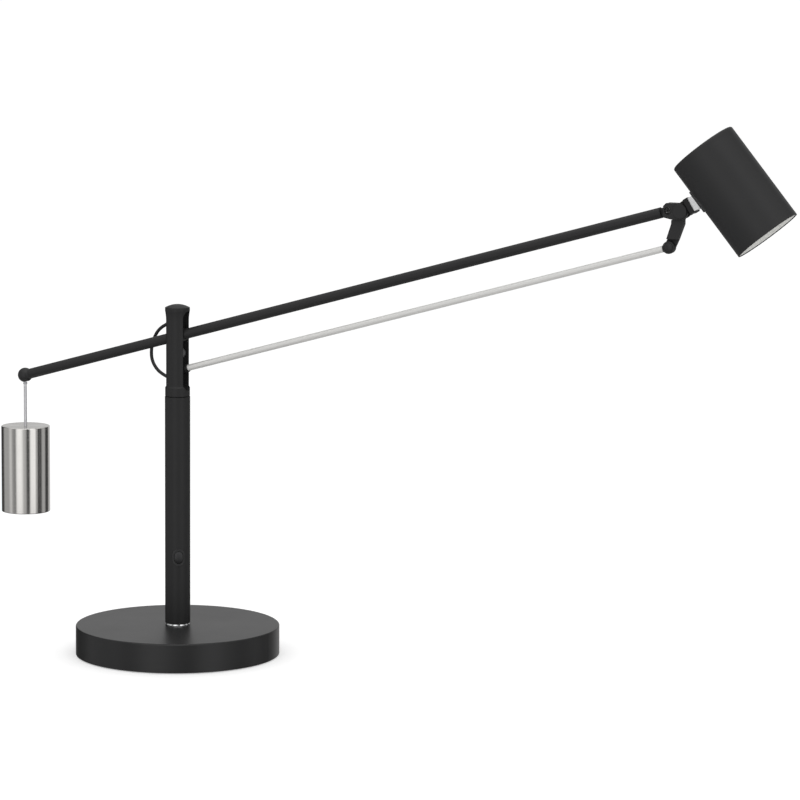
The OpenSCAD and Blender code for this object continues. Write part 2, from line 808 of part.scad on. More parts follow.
module lever_outline() {
    polygon([[lever_left, -web_top], [web_right, -web_top], [web_right, -lever_knee],
        [lever_toe_right, -lever_toe_z], [lap_end_d / 2, -link_h], [-lap_end_d / 2, -link_h],
        [-lever_toe_left, -lever_toe_z], [lever_left, -lever_knee]]);
    translate([0, -link_h]) circle(d = lap_end_d);
}

module bracket() color("#2a2a2b") at_bracket() difference() {
    union() {
        slab_y(-cheek_w / 2, cheek_w / 2) cheek_outline();
        slab_y(-lever_front, lever_back) lever_outline();
    }
    box([-block_left - cut, -fork_w / 2, -web_top], [tilt_x + tilt_cheek_d, fork_w / 2, block_top + cut]);
    box([-block_left - cut, -fork_w / 2, -web_bottom - cut], [web_left, fork_w / 2, block_top + cut]);
    box([web_right, -fork_w / 2, -web_bottom - cut], [tilt_x + tilt_cheek_d, fork_w / 2, block_top + cut]);
    box([-lap_end_d, -lever_front - cut, -link_h - lap_end_d],
        [lap_end_d, eye_end_t / 2 + lap_gap, -lever_toe_z]);
    bar_y(pin_d + 2 * fit, -cheek_w, cheek_w);
    bar_y(screw_recess_d, -cheek_w, screw_recess_t - cheek_w / 2);
    translate([tilt_x, 0, tilt_z]) bar_y(pin_d + 2 * fit, -cheek_w, cheek_w);
    translate([0, 0, -link_h]) bar_y(pin_d + 2 * fit, 0, cheek_w);
}

module arm_screw() color("silver") at_bracket() {
    face = screw_recess_t - cheek_w / 2;
    difference() {
        union() {
            bar_y(pin_d, face - fit, cheek_w / 2 + small_nut_t);
            bar_y(socket_head_d, face - socket_head_t, face);
        }
        slab_y(face - socket_head_t - cut, face - socket_head_t + socket_t) hexagon(socket_flats);
    }
}

// Hexagon nut on the far cheek
module far_nut() difference() {
    slab_y(cheek_w / 2, cheek_w / 2 + small_nut_t) hexagon(small_nut_flats);
    bar_y(pin_d + 2 * fit, 0, cheek_w + small_nut_t);
}

module arm_screw_nut() color("silver") at_bracket() far_nut();

module tilt_nut() color("silver") at_bracket() translate([tilt_x, 0, tilt_z]) far_nut();

module tilt_pin() color("silver") at_bracket() translate([tilt_x, 0, tilt_z])
    bar_y(pin_d, -cheek_w / 2, cheek_w / 2 + small_nut_t);

module tilt_cap() color("#303031") at_bracket() translate([tilt_x, -cheek_w / 2, tilt_z]) rotate([90, 0, 0])
    rotate_extrude() {
        square([tilt_cap_neck_d / 2, tilt_cap_lift + tilt_cap_edge]);
        translate([0, tilt_cap_lift]) drum_half(tilt_cap_d / 2, tilt_cap_t, tilt_cap_edge);
    }

module link_pin() color("#2a2a2b") at_bracket() translate([0, 0, -link_h]) {
    front = -eye_end_t / 2 - run_gap;
    bar_y(pin_d, front, lever_back + fit);
    bar_y(link_rear_d, lever_back, lever_back + link_rear_t);
    translate([0, front, 0]) rotate([90, 0, 0]) intersection() {
        bar_z(link_head_d, 0, link_head_t);
        translate([0, 0, link_head_t - flare_r(link_head_t, link_head_d / 2)])
            sphere(r = flare_r(link_head_t, link_head_d / 2));
    }
}

// KNUCKLE
module shade_knuckle() color("#2a2a2b") at_block() difference() {
    half = knuckle_w / 2;
    union() {
        slab_y(-tongue_t / 2, tongue_t / 2) {
            circle(d = knuckle_eye_d);
            polygon([[0, 0], [0, knuckle_eye_d / 2], [knuckle_top_x, half], [knuckle_face + fit, half],
                [knuckle_face + fit, -half], [knuckle_low_x, -half], [knuckle_low_x, 0]]);
        }
        box([knuckle_face, -half, -half], [knuckle_end, half, half]);
    }
    bar_y(pin_d + 2 * run_gap, -tongue_t, tongue_t);
    bar_x(stem_root_d + 2 * fit, knuckle_end - stem_root_len - fit, knuckle_end + cut);
}

module swivel_stem() color("gainsboro") difference() {
    union() {
        difference() {
            at_block() {
                bar_x(stem_root_d, knuckle_end - stem_root_len, knuckle_end + fit);
                box([knuckle_end, -stem_w / 2, -stem_w / 2], [shade_x, stem_w / 2, stem_w / 2]);
            }
            at_stem() box([stem_end, -stem_w, -shade_r], [shade_x + stem_w, stem_w, shade_r]);
        }
        at_stem() bar_x(stem_shank_d, stem_end - fit, inner_flat_x + run_gap + stem_nut_t + stem_tail);
    }
    at_stem() bar_x(stem_bore_d, stem_end - fit, shade_x);
}

module stem_nut() color("silver") at_stem() difference() {
    slab_x(inner_flat_x + run_gap, inner_flat_x + run_gap + stem_nut_t) hexagon(stem_nut_flats);
    bar_x(stem_shank_d + 2 * fit, 0, shade_x);
}

// SHADE
module saddle_plate() color("#1c1c1c") at_seat() difference() {
    box([stem_end + run_gap, -stem_w / 2, -saddle_len / 2], [shade_x, stem_w / 2, saddle_len / 2]);
    translate([shade_x, 0, -saddle_len]) cylinder(r = shade_r + fit, h = 2 * saddle_len, $fn = 360);
    bar_x(stem_shank_d + 2 * run_gap, 0, shade_x);
}

module inner_saddle() color("#1c1c1c") at_seat() intersection() {
    difference() {
        bar_x(inner_saddle_d, stem_end, inner_flat_x);
        bar_x(stem_shank_d + 2 * run_gap, 0, shade_x);
    }
    translate([shade_x, 0, -saddle_len]) cylinder(r = shade_ri, h = 2 * saddle_len, $fn = 360);
}

module shade_shell() color("#303031") difference() {
    at_shade() difference() {
        translate([0, 0, -shade_len]) rotate_extrude() drum_half(shade_r, shade_len, shade_edge);
        bar_z(2 * shade_ri, -shade_len - cut, -shade_end_t);
    }
    at_stem() bar_x(stem_shank_d + 2 * run_gap, 0, shade_x);
}

module shade_liner() color("white") at_shade() difference() {
    bar_z(2 * (shade_ri - liner_gap), liner_lip - shade_len, liner_len - shade_len);
    bar_z(2 * (shade_ri - liner_gap - liner_t), -shade_len, liner_len - shade_len + cut);
}

module lamp_stand() color("silver") at_shade() difference() {
    bar_z(stand_d, -holder_z, -shade_end_t);
    bar_z(stand_d - 2 * stand_wall, stand_wall - holder_z, cut);
    bar_z(stand_hole_d, -holder_z - cut, 0);
}

// The two holes or pins of the bulb's base
module at_bulb_pins() for (x = [-1, 1]) translate([x * bulb_pin_gap / 2, 0, 0]) children();

module lamp_holder() color("whitesmoke") at_shade() {
    mouth = -holder_z - holder_h;
    difference() {
        bar_z(holder_d, mouth, -holder_z);
        at_bulb_pins() bar_z(bulb_pin_d + 2 * fit, mouth - cut, mouth + bulb_pin_len);
    }
}

module bulb_body() color("whitesmoke") at_shade() difference() {
    union() {
        rotate_extrude() polygon([[0, -bulb_z], [bulb_neck_d / 2, -bulb_z],
            [bulb_neck_d / 2, -bulb_z - bulb_neck_h], [bulb_d / 2, bulb_rim_h - bulb_face],
            [bulb_d / 2, -bulb_face], [0, -bulb_face]]);
        at_bulb_pins() bar_z(bulb_pin_d, -bulb_z - fit, bulb_pin_len - bulb_z - fit);
    }
    bar_z(lens_d + 2 * fit, -bulb_face - cut, lens_t - bulb_face);
}

module bulb_lens() color("white") at_shade() bar_z(lens_d, -bulb_face, lens_t - bulb_face);

foot_pad();
base_plate();
base_weight();
base_cover();
base_screw(0);  // base_screw_1
base_screw(1);  // base_screw_2
base_screw(2);  // base_screw_3
cord_gland();
column_ring();
column_tie();
tie_nut();
column_plug();
column_tube();
switch_bezel();
switch_body();
switch_button();
column_bushing();
swivel_washer();
head_housing();
head_cap();
spindle_clip();
arm_pivot_pin();
rod_pivot_pin();
cheek_spacer();
spacer_screw();
loop_cable();
arm_hub();
arm_tube_long();
arm_tube_short();
ball_end();
arm_tongue();
hanger_cup();
wire_ball();
hanger_wire();
wire_collar();
wire_nut();
counterweight();
weight_plug();
link_rod();
rod_eye_head();
rod_eye_shade();
bracket();
arm_screw();
arm_screw_nut();
tilt_pin();
tilt_cap();
tilt_nut();
link_pin();
shade_knuckle();
swivel_stem();
stem_nut();
saddle_plate();
inner_saddle();
shade_shell();
shade_liner();
lamp_stand();
lamp_holder();
bulb_body();
bulb_lens();
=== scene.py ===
"""Finishes, cable, bright ring, turned weight, bulb and studio of a balanced desk lamp.

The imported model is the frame: every solid part keeps its place, and the pieces made here sit in the same
row frame, in metres, with +Z up and the shade on +X.
"""

import json
import math

import bmesh
import bpy
from mathutils import Matrix, Vector


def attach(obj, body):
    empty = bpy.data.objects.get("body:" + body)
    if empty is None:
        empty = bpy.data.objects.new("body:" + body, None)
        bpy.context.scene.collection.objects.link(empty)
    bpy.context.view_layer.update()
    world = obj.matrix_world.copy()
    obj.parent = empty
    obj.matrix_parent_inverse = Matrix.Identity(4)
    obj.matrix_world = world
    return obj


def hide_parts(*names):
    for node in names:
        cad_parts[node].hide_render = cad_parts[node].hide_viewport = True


bl_info = {
    "name": "Balanced Desk Lamp",
    "version": (1, 0, 0),
    "blender": (4, 5, 0),
    "location": "3D View > Sidebar > Lamp",
    "description": "Gives the desk lamp its finishes, cable, ring, turned weight, bulb and studio",
    "category": "Object",
}

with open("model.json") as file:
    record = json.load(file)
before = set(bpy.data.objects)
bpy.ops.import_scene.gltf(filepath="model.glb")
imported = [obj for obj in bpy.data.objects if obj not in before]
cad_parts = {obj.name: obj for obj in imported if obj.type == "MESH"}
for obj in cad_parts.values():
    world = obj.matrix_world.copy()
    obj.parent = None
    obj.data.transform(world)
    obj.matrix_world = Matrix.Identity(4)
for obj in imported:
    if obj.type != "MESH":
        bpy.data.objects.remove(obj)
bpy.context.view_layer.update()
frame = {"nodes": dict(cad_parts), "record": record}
SLOT_COLOUR = {m["slot"]: tuple(m["base_color"][:3]) for m in frame["record"]["materials"]}

MM = 0.001

# Angles and lengths of the solid parts. The lengths are in millimetres
ARM_RISE, STEM_RISE, SHADE_TURN = math.radians(15.8), math.radians(38.6), math.radians(3.5)
HEAD_BOTTOM, PIVOT_HEIGHT = 255.85, 314.2
BALL_REACH, BRACKET_REACH = 178, 526.5
TILT_PIN_OUT, TILT_PIN_UP = 12.4, 0.2
STEM_LENGTH, STEM_SHIFT, SHADE_RISE = 51.1, 2.6, 36.4
WIRE_DROP = 50.8
BULB_FACE = -73.5

# Steps round the bulb, and the turn from one dome of its lens to the next
BULB_STEPS = 96
DOME_TURN = math.radians(137.508)

# Directions and places in the row frame, in metres
ARM_AXIS = Vector((math.cos(ARM_RISE), 0, math.sin(ARM_RISE)))
STEM_AXIS = Vector((math.cos(STEM_RISE), 0, math.sin(STEM_RISE)))
STEM_UP = Vector((-math.sin(STEM_RISE), 0, math.cos(STEM_RISE)))
ARM_PIVOT = Vector((0, 0, PIVOT_HEIGHT)) * MM
BALL = ARM_PIVOT - ARM_AXIS * (BALL_REACH * MM)

# The shade's own frame: the centre of its closed end, its stem, its side and its axis
SIDE = Vector((0, math.cos(SHADE_TURN), 0)) + STEM_UP * math.sin(SHADE_TURN)
SHADE_AXIS = STEM_UP * math.cos(SHADE_TURN) - Vector((0, math.sin(SHADE_TURN), 0))
TILT_PIN = ARM_PIVOT + ARM_AXIS * (BRACKET_REACH * MM) + Vector((TILT_PIN_OUT, 0, TILT_PIN_UP)) * MM
SHADE_END = TILT_PIN + (STEM_AXIS * STEM_LENGTH - STEM_UP * STEM_SHIFT + SHADE_AXIS * SHADE_RISE) * MM
SHADE_PLACE = Matrix.Translation(SHADE_END) @ Matrix((STEM_AXIS, SIDE, SHADE_AXIS)).transposed().to_4x4()

# The cable's route, measured from the lamp's axis and the head's underside, in millimetres
CABLE_ROUTE = [
    (0, 0, -25), (0, 0, -13), (0, 0, -1), (0, 0, 5.5), (-1.8, 0.2, 10.6), (-6.2, 1, 14.4),
    (-12.2, 2.9, 17), (-19.2, 5.2, 19.4), (-25.6, 6.9, 23), (-30.2, 7.9, 28), (-32.8, 8.4, 33.6),
    (-33.4, 8.5, 39.6), (-32.8, 8.5, 45.6), (-31.3, 8.5, 51.2), (-29, 8.5, 56.4), (-26, 8.4, 61),
    (-21.8, 8, 64.8), (-17, 7, 67.6), (-12.6, 5.2, 69.6), (-9, 3.2, 70.6), (-5.8, 1.5, 70.2),
    (-3.2, 0.5, 68.6), (-1.6, 0.1, 66.2), (-0.7, 0, 62.8),
]

# The photograph's camera: its place in metres, its own right, up and back, and its film in millimetres
CAMERA_PLACE = (1.64864, -3.10065, 0.73106)
CAMERA_AXES = ((0.9098295, 0.4149159, 0.0074219), (-0.0627690, 0.1199171, 0.9907976),
               (0.4102077, -0.9019228, 0.135148))
FILM_WIDTH = 36.0

# Tall soft boxes that metal mirrors: direction, half width and soft edge in degrees, and brightness.
# The levels are those of the gaps between them, of the sky above and of the ground below
SOFT_BOXES = (
    (-82, 25, 5, 0.52), (-90, 10, 12, 0.68), (-26, 13, 5, 1.16), (-3, 10, 7, 0.42), (34, 11, 5, 0.44),
    (104, 28, 7, 0.56), (-157, 28, 6, 0.4), (-128, 14, 8, 0.3))
GAP_LEVEL, TOP_LEVEL, LOW_LEVEL = 0.05, 1.0, 0.25

# The key light and the floor, in metres, and the floor's own glow, which only the camera sees
KEY_PLACE, KEY_AIM, KEY_SIZE = Vector((0.7, -0.7, 2.3)), Vector((0.15, 0, 0.25)), 1.6
FLOOR_REACH, FLOOR_HEIGHT = 60.0, -0.0002
FLOOR_GLOW = 0.34


# Node trees, written as sums

class Output:
    """One output of a node. Sums on it add Math nodes to its tree."""

    def __init__(self, graph, socket):
        self.graph, self.socket = graph, socket

    def __add__(self, other):
        return self.graph.maths("ADD", self, other)

    def __sub__(self, other):
        return self.graph.maths("SUBTRACT", self, other)

    def __rsub__(self, other):
        return self.graph.maths("SUBTRACT", other, self)

    def __mul__(self, other):
        return self.graph.maths("MULTIPLY", self, other)

    def __truediv__(self, other):
        return self.graph.maths("DIVIDE", self, other)

    __radd__, __rmul__ = __add__, __mul__


class Graph:
    """A node tree under construction."""

    def __init__(self, tree):
        self.tree = tree

    def node(self, kind, settings=None, values=None, out=0):
        """Adds a node with its settings, then the numbers or links of its sockets."""
        made = self.tree.nodes.new(kind)
        for key, value in (settings or {}).items():
            setattr(made, key, value)
        for key, value in (values or {}).items():
            if isinstance(value, Output):
                self.tree.links.new(value.socket, made.inputs[key])
            else:
                made.inputs[key].default_value = value
        return None if out is None else Output(self, made.outputs[out])

    def maths(self, operation, a, b=0.0, clamp=False):
        return self.node("ShaderNodeMath", {"operation": operation, "use_clamp": clamp}, {0: a, 1: b})

    def vector(self, operation, a, b=None, scale=None, out=0):
        values = {0: a}
        if b is not None:
            values[1] = b
        if scale is not None:
            values["Scale"] = scale
        return self.node("ShaderNodeVectorMath", {"operation": operation}, values, out)

    def step(self, value, low, high):
        """Rises smoothly from 0 to 1 while value goes from low to high."""
        return self.node("ShaderNodeMapRange", {"interpolation_type": "SMOOTHSTEP"},
                         {"Value": value, "From Min": low, "From Max": high})


class Finish(Graph):
    """A material under construction, with the patterns that the lamp's finishes share."""

    def __init__(self, name):
        self.material = bpy.data.materials.new(name)
        self.material.use_nodes = True
        self.material.node_tree.nodes.clear()
        super().__init__(self.material.node_tree)
        self.place = self.node("ShaderNodeTexCoord", out="Object")

    def grain(self, scale, detail=2.0, place=None):
        """Soft noise, with its scale in patches to the metre."""
        return self.node("ShaderNodeTexNoise", {"noise_dimensions": "3D"},
                         {"Vector": place or self.place, "Scale": scale, "Detail": detail}, "Fac")

    def cells(self, scale):
        """Distance from the middle of the nearest cell, with its scale in cells to the metre."""
        return self.node("ShaderNodeTexVoronoi", {"feature": "F1"},
                         {"Vector": self.place, "Scale": scale}, "Distance")

    def blend(self, a, b, factor):
        return self.node("ShaderNodeMix", {"data_type": "RGBA"}, {0: factor, 6: a, 7: b}, 2)

    def drawn(self, axis, fine, coarse):
        """Lines along an axis: a place that changes quickly across it and slowly along it."""
        along = self.vector("DOT_PRODUCT", self.place, tuple(axis), out="Value")
        line = self.vector("SCALE", tuple(axis), scale=along)
        across = self.vector("SUBTRACT", self.place, line)
        return self.vector("ADD", self.vector("SCALE", across, scale=fine),
                           self.vector("SCALE", line, scale=coarse))

    def turned(self, axis, centre, fine, coarse):
        """Rings round an axis: a place that changes quickly along and out from it, and slowly round it."""
        offset = self.vector("SUBTRACT", self.place, tuple(centre))
        along = self.vector("DOT_PRODUCT", offset, tuple(axis), out="Value")
        across = self.vector("SUBTRACT", offset, self.vector("SCALE", tuple(axis), scale=along))
        radius = self.vector("LENGTH", across, out="Value")
        rings = self.node("ShaderNodeCombineXYZ", None, {"X": radius * fine, "Y": along * fine})
        return self.vector("ADD", rings, self.vector("SCALE", across, scale=coarse))

    def rounded(self, reach):
        """The normal as it would be with every sharp edge eased by reach, and a mask of those edges."""
        soft = self.node("ShaderNodeBevel", {"samples": 4}, {"Radius": reach})
        plain = self.node("ShaderNodeNewGeometry", out="Normal")
        turn = self.vector("DOT_PRODUCT", soft, plain, out="Value")
        return soft, self.maths("MULTIPLY", 1.0 - turn, 3.0, clamp=True)

    def bump(self, height, strength, depth, normal=None):
        values = {"Height": height, "Strength": strength, "Distance": depth}
        if normal is not None:
            values["Normal"] = normal
        return self.node("ShaderNodeBump", None, values)

    def close(self, colour, roughness, normal, **numbers):
        """Ends the material in a Principled shader, with plain numbers for its other sockets."""
        values = {"Base Color": colour, "Roughness": roughness, "Normal": normal}
        values.update({key.replace("_", " "): value for key, value in numbers.items()})
        shader = self.node("ShaderNodeBsdfPrincipled", None, values)
        self.node("ShaderNodeOutputMaterial", None, {"Surface": shader}, None)
        return self.material


def tone(colour, factor):
    """A colour made lighter or darker."""
    return tuple(min(1.0, c * factor) for c in tuple(colour)[:3]) + (1.0,)


# Finishes. Grain and cells are counted to the metre, tones are multiples of a finish's own colour,
# and bump depths are in metres

def black_coat(name, colour, roughness, grain=2600.0, edge=0.35 * MM, hollow_shade=0.3):
    """Fine black powder coat: sand-like grain, a slow change of tone, lighter rubbed edges that are partly
    wear and partly a painted highlight, and painted shade that darkens the hollows.
    """
    f = Finish(name)
    sand = f.grain(grain, 3.0)
    slow = f.grain(16.0, 3.0)
    pores = f.step(f.cells(grain * 0.42), 0.05, 0.3)
    soft, rim = f.rounded(edge)
    # Rubbed edges: a patchy lighter colour along the eased edges, partly wear and partly a painted edge
    # highlight
    rub_and_highlight = rim * f.step(f.grain(180.0, 4.0), 0.45, 0.7)
    base = f.blend(tone(colour, 0.86), tone(colour, 1.16), slow)
    base = f.blend(base, tone(colour, 1.35), f.step(sand, 0.5, 0.8) * 0.5)
    base = f.blend(base, tone(colour, 3.2), rub_and_highlight * 0.4)
    # Painted shade: the coat is darkened where ambient occlusion finds other surfaces within 5 mm, in
    # creases, recesses and between parts
    open_air = f.node("ShaderNodeAmbientOcclusion", {"samples": 8}, {"Distance": 5.0 * MM}, "AO")
    shaded_hollow = f.step(open_air, 0.75, 0.25)
    base = f.blend(base, tone(colour, 0.12), shaded_hollow * hollow_shade)
    rough = roughness + (slow - 0.5) * 0.08 + (sand - 0.5) * 0.1 - rub_and_highlight * 0.1 + shaded_hollow * (hollow_shade * 0.4)
    normal = f.bump(sand * 0.7 + pores * 0.3, 0.35, 0.03 * MM, soft)
    return f.close(base, rough, normal, Specular_IOR_Level=0.34)


def blackened_steel(name):
    """Oil-blackened steel, rubbed bright on its edges and in a few fine scratches, which are partly wear and
    partly painted glints.
    """
    f = Finish(name)
    cloud = f.grain(700.0, 3.0)
    marks = f.step(f.grain(1.0, 3.0, f.drawn((0.7, 0.0, 0.7), 3200.0, 240.0)), 0.62, 0.72)
    soft, rim = f.rounded(0.35 * MM)
    base = f.blend((0.01, 0.01, 0.01, 1.0), (0.04, 0.04, 0.04, 1.0), cloud)
    # Painted glints: the edges and scratches take a bright colour, partly worn metal and partly standing in
    # for highlights
    base = f.blend(base, (0.8, 0.8, 0.8, 1.0), f.maths("MAXIMUM", rim, marks * 0.3))
    return f.close(base, 0.3 + cloud * 0.12, f.bump(cloud, 0.2, 0.02 * MM, soft), Metallic=1.0)


def turned_steel(name, colour, axis, centre, roughness):
    """Steel turned on a lathe: fine rings, a few deeper ones, and a faint stain."""
    f = Finish(name)
    fine = f.grain(1.0, 3.0, f.turned(axis, centre, 5200.0, 24.0))
    bands = f.grain(1.0, 2.0, f.turned(axis, centre, 420.0, 9.0))
    stain = f.step(f.grain(34.0, 5.0), 0.55, 0.75)
    base = f.blend(tone(colour, 0.93), tone(colour, 1.07), fine * 0.5 + bands * 0.5)
    base = f.blend(base, tone(colour, 0.88), stain * 0.25)
    rough = roughness + (fine - 0.5) * 0.1 + (bands - 0.5) * 0.06 + stain * 0.05
    normal = f.bump(fine, 0.06, 0.015 * MM)
    return f.close(base, rough, normal, Metallic=1.0, Anisotropic=0.75, Anisotropic_Rotation=0.25)


def drawn_metal(name, colour, axis, roughness, fine=4200.0, metallic=1.0):
    """Metal with fine lines along one axis, as left by drawing or by a brush."""
    f = Finish(name)
    lines = f.grain(1.0, 3.0, f.drawn(axis, fine, 26.0))
    slow = f.grain(40.0, 3.0)
    rubbed = f.step(f.grain(1.0, 2.0, f.drawn(axis, fine * 0.3, 60.0)), 0.6, 0.75)
    base = f.blend(tone(colour, 0.9), tone(colour, 1.08), lines)
    base = f.blend(base, tone(colour, 0.88), rubbed * 0.3)
    rough = roughness + (lines - 0.5) * 0.14 + (slow - 0.5) * 0.1
    return f.close(base, rough, f.bump(lines, 0.2, 0.015 * MM), Metallic=metallic)


def bright_chrome(name, colour, roughness):
    """Polished plating with faint wipe marks and a soft haze."""
    f = Finish(name)
    haze = f.step(f.grain(120.0, 4.0), 0.35, 0.75)
    wipes = f.grain(1.0, 2.0, f.drawn((0.0, 0.0, 1.0), 1400.0, 3800.0))
    soft, rim = f.rounded(0.2 * MM)
    base = f.blend(tone(colour, 0.94), tone(colour, 1.03), haze)
    rough = roughness + haze * 0.05 + (wipes - 0.5) * 0.03 + rim * 0.05
    return f.close(base, rough, f.bump(wipes, 0.06, 0.006 * MM, soft), Metallic=1.0)


def zinc_plate(name, colour):
    """Dull zinc plating with its small bright and dark patches."""
    f = Finish(name)
    spangle = f.cells(700.0)
    cloud = f.grain(90.0, 4.0)
    base = f.blend(tone(colour, 0.78), tone(colour, 1.06), spangle * 0.5 + cloud * 0.5)
    rough = 0.34 + (cloud - 0.5) * 0.22 + (spangle - 0.4) * 0.08
    return f.close(base, rough, f.bump(f.grain(3200.0, 3.0), 0.15, 0.02 * MM), Metallic=1.0)


def rough_casting(name, colour):
    """Sand-cast iron: coarse skin, pits and patches with a dusty brown tinge."""
    f = Finish(name)
    skin = f.grain(900.0, 6.0)
    pits = f.step(f.cells(420.0), 0.08, 0.35)
    rust = f.step(f.grain(60.0, 5.0), 0.56, 0.72)
    base = f.blend(tone(colour, 0.7), tone(colour, 1.3), skin)
    base = f.blend(base, (0.11, 0.06, 0.035, 1.0), rust * 0.4)
    normal = f.bump(skin * 0.6 + pits * 0.4, 0.8, 0.15 * MM)
    return f.close(base, 0.72 + (skin - 0.5) * 0.2, normal, Metallic=0.6)


def moulded_plastic(name, colour, roughness, grain=1500.0, depth=0.02, rim=0.25):
    """Moulded plastic with a spark-eroded grain, slightly polished edges, and a painted highlight that
    lightens the edges by rim.
    """
    f = Finish(name)
    erode = f.grain(grain, 3.0)
    slow = f.grain(30.0, 2.0)
    soft, edges = f.rounded(0.25 * MM)
    base = f.blend(tone(colour, 0.9), tone(colour, 1.1), erode * 0.5 + slow * 0.5)
    # Painted highlight: the eased edges are lightened by the share rim, as if lit
    base = f.blend(base, tone(colour, 1.5), edges * rim)
    rough = roughness + (erode - 0.5) * 0.12 + (slow - 0.5) * 0.06 - edges * 0.08
    return f.close(base, rough, f.bump(erode, 0.3, depth * MM, soft))


def cable_jacket(name, colour):
    """Soft cable jacket: fine lines that follow the cable, and a dull waxy sheen."""
    f = Finish(name)
    run = f.node("ShaderNodeAttribute", {"attribute_name": "run"}, None, "Vector")
    lines = f.grain(1.0, 2.0, f.vector("MULTIPLY", run, (2600.0, 2600.0, 90.0)))
    dust = f.step(f.grain(260.0, 4.0), 0.52, 0.72)
    base = f.blend(tone(colour, 0.85), tone(colour, 1.5), lines)
    base = f.blend(base, tone(colour, 2.4), dust * 0.2)
    rough = 0.46 + (lines - 0.5) * 0.14 + dust * 0.12
    return f.close(base, rough, f.bump(lines, 0.25, 0.03 * MM))


def dense_foam(name, colour):
    """Closed-cell foam: small open bubbles on a dull skin."""
    f = Finish(name)
    bubbles = f.step(f.cells(1400.0), 0.05, 0.45)
    skin = f.grain(600.0, 4.0)
    base = f.blend(tone(colour, 0.5), tone(colour, 1.3), bubbles)
    return f.close(base, 0.86 + (skin - 0.5) * 0.1, f.bump(bubbles * 0.7 + skin * 0.3, 0.7, 0.1 * MM))


def white_enamel(name, colour, roughness, peel=420.0):
    """White baked enamel: a soft orange-peel skin, faint dust and warmer thin places."""
    f = Finish(name)
    skin = f.grain(peel, 2.0)
    dust = f.step(f.grain(70.0, 5.0), 0.5, 0.8)
    warm = (colour[0] * 0.93, colour[1] * 0.92, colour[2] * 0.88, 1.0)
    base = f.blend(tone(colour, 1.02), warm, dust * 0.5)
    rough = roughness + (skin - 0.5) * 0.1 + dust * 0.06
    return f.close(base, rough, f.bump(skin, 0.25, 0.05 * MM))


def frosted_lens(name, colour):
    """Frosted front of the bulb: a milky skin with fine frost and a slightly yellow depth."""
    f = Finish(name)
    frost = f.grain(2400.0, 3.0)
    depth = f.step(f.cells(260.0), 0.1, 0.6)
    base = f.blend(tone(colour, 0.94), (0.93, 0.91, 0.8, 1.0), depth * 0.35)
    return f.close(base, 0.24 + frost * 0.2, f.bump(frost, 0.2, 0.02 * MM), Coat_Weight=0.3)


def dress(nodes, material):
    """Puts a finish on the frame's own parts."""
    for name in nodes:
        for slot in frame["nodes"][name].material_slots:
            slot.material = material


# Shapes that follow a rule

class Shape(Graph):
    """A Geometry Nodes tree under construction, with named inputs for its sizes."""

    def __init__(self, name):
        super().__init__(bpy.data.node_groups.new(name, "GeometryNodeTree"))
        self.face = self.tree.interface
        self.face.new_socket("Geometry", in_out="INPUT", socket_type="NodeSocketGeometry")
        self.face.new_socket("Geometry", in_out="OUTPUT", socket_type="NodeSocketGeometry")
        self.source = self.tree.nodes.new("NodeGroupInput")
        self.given = {}

    def line(self):
        """The outline or route that the tree starts from."""
        return Output(self, self.source.outputs["Geometry"])

    def size(self, name, value, kind="NodeSocketFloat"):
        """A named input of the tree, and the value that it is given."""
        socket = self.face.new_socket(name, in_out="INPUT", socket_type=kind)
        self.given[socket.identifier] = value
        return Output(self, self.source.outputs[name])

    def position(self, geometry, place):
        return self.node("GeometryNodeSetPosition", None, {"Geometry": geometry, "Position": place})

    def count(self, name, value):
        return self.size(name, value, "NodeSocketInt")

    def part(self, vector, axis):
        return self.node("ShaderNodeSeparateXYZ", None, {"Vector": vector}, axis)

    def join(self, *pieces):
        made = self.tree.nodes.new("GeometryNodeJoinGeometry")
        for piece in pieces:
            self.tree.links.new(piece.socket, made.inputs[0])
        return Output(self, made.outputs[0])

    def ring(self, piece, count, rotation):
        """Repeats a piece round the Z axis."""
        points = self.node("GeometryNodePoints", None, {"Count": count})
        return self.node("GeometryNodeInstanceOnPoints", None, {
            "Points": points, "Instance": piece, "Rotation": rotation}, "Instances")

    def end(self, geometry, material):
        """Realizes what is repeated, gives it its finish and closes the tree."""
        whole = self.node("GeometryNodeRealizeInstances", None, {"Geometry": geometry})
        whole = self.node("GeometryNodeSetMaterial", None, {"Geometry": whole, "Material": material})
        self.node("NodeGroupOutput", None, {"Geometry": whole}, None)


def line_mesh(name, points, closed=False):
    """A line through the points, as the mesh that a tree starts from."""
    last = len(points) - 1
    edges = [(i, i + 1) for i in range(last)] + ([(last, 0)] if closed else [])
    mesh = bpy.data.meshes.new(name)
    mesh.from_pydata([tuple(p) for p in points], edges, [])
    return mesh


def arc(centre, radius, start, end, steps=6):
    """Points of a rounded corner in an outline, in degrees."""
    angles = [math.radians(start + (end - start) * i / steps) for i in range(steps + 1)]
    return [(centre[0] + radius * math.cos(a), 0, centre[1] + radius * math.sin(a)) for a in angles]


